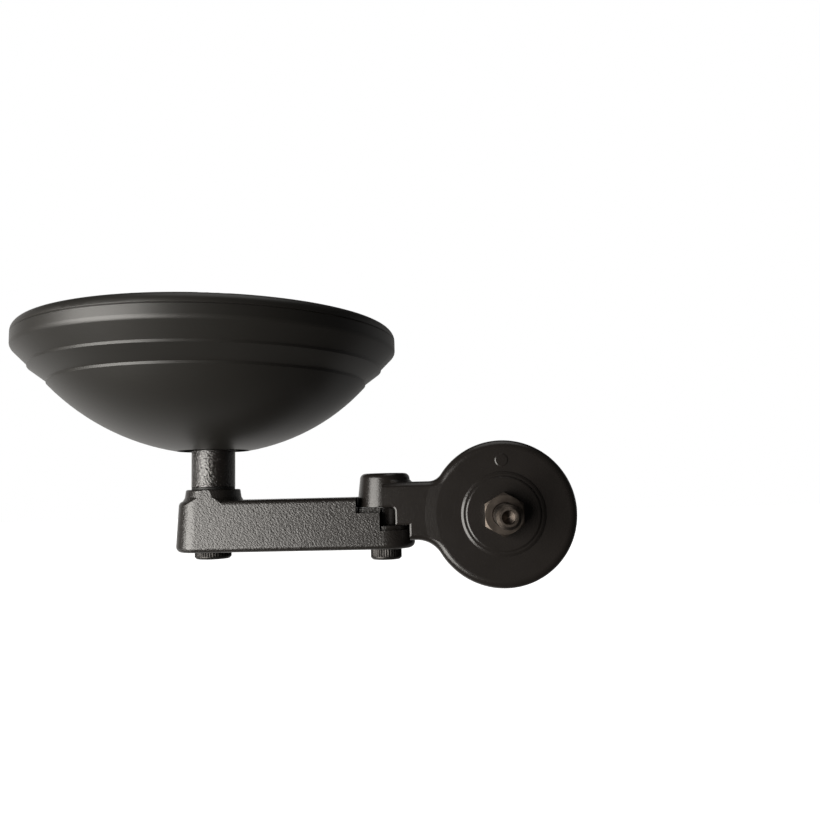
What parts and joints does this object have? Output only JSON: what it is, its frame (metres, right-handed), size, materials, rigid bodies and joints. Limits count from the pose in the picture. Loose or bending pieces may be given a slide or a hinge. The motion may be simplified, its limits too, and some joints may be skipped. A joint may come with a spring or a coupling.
{
  "type": "motorcycle bar end mirror",
  "caption": "Round convex mirror in a stepped bowl on a ball-jointed stem, carried by a swinging cast arm and a disc that a threaded stud holds in the end of a handlebar.",
  "frame": {"origin": "on the stud's axis, at the lock nut's outer face, which bears on the handlebar's end", "axes": "-Y along the stud into the handlebar, -X along the arm, +Z the way the glass faces"},
  "size_m": [0.1522, 0.1039, 0.0717],
  "materials": {
    "zinc_steel": "dull zinc plate",
    "cast_black": "black textured powder coat on a casting",
    "gloss_black": "glossy moulded black",
    "rubber": "smooth black rubber",
    "black_steel": "black oxide",
    "spring_steel": "oiled spring steel",
    "nylon_black": "black nylon",
    "stem_black": "black textured powder coat on turned steel",
    "liner_white": "natural acetal",
    "socket_black": "black acetal",
    "bowl_black": "satin moulded black",
    "plate_grey": "plain moulded grey",
    "foam": "closed cell foam",
    "mirror_face": "first surface clear, silvered behind"
  },
  "bodies": {
    "bar_stud": {"mounting_stud": "zinc_steel", "head_washer": "zinc_steel", "lock_nut": "zinc_steel"},
    "bar_end": {"bar_end_body": "cast_black", "end_cap": "gloss_black", "cap_o_ring": "rubber", "pivot_screw": "black_steel", "pivot_spring_washer": "spring_steel"},
    "arm": {"arm": "cast_black", "pivot_washer": "nylon_black"},
    "stem": {"ball_stem": "stem_black", "stem_screw": "black_steel", "stem_spring_washer": "spring_steel", "stem_washer": "nylon_black"},
    "liner": {"ball_liner": "liner_white"},
    "mirror_head": {"mirror_housing": "bowl_black", "ball_seat": "socket_black", "ball_clamp": "socket_black", "disc_spring": "spring_steel", "retainer_plate": "zinc_steel", "retainer_screws": "zinc_steel", "backing_plate": "plate_grey", "adhesive_pad": "foam", "mirror_glass": "mirror_face", "bezel_ring": "bowl_black"}
  },
  "joints": [
    {"name": "bar_swivel", "type": "hinge", "parent": "bar_stud", "child": "bar_end", "pos_m": [0, 0.014, 0], "axis": [0, 1, 0], "continuous": true},
    {"name": "arm_swivel", "type": "hinge", "parent": "bar_end", "child": "arm", "pos_m": [-0.032, 0.01415, 0], "axis": [0, 0, 1], "range_deg": [-28, 28]},
    {"name": "stem_swivel", "type": "hinge", "parent": "arm", "child": "stem", "pos_m": [-0.0806, 0.01415, 0], "axis": [0, 0, 1], "continuous": true},
    {"name": "head_tilt_x", "type": "hinge", "parent": "stem", "child": "liner", "pos_m": [-0.0806, 0.01415, 0.028], "axis": [1, 0, 0], "range_deg": [-14, 14]},
    {"name": "head_tilt_y", "type": "hinge", "parent": "liner", "child": "mirror_head", "pos_m": [-0.0806, 0.01415, 0.028], "axis": [0, 1, 0], "range_deg": [-14, 14]}
  ]
}
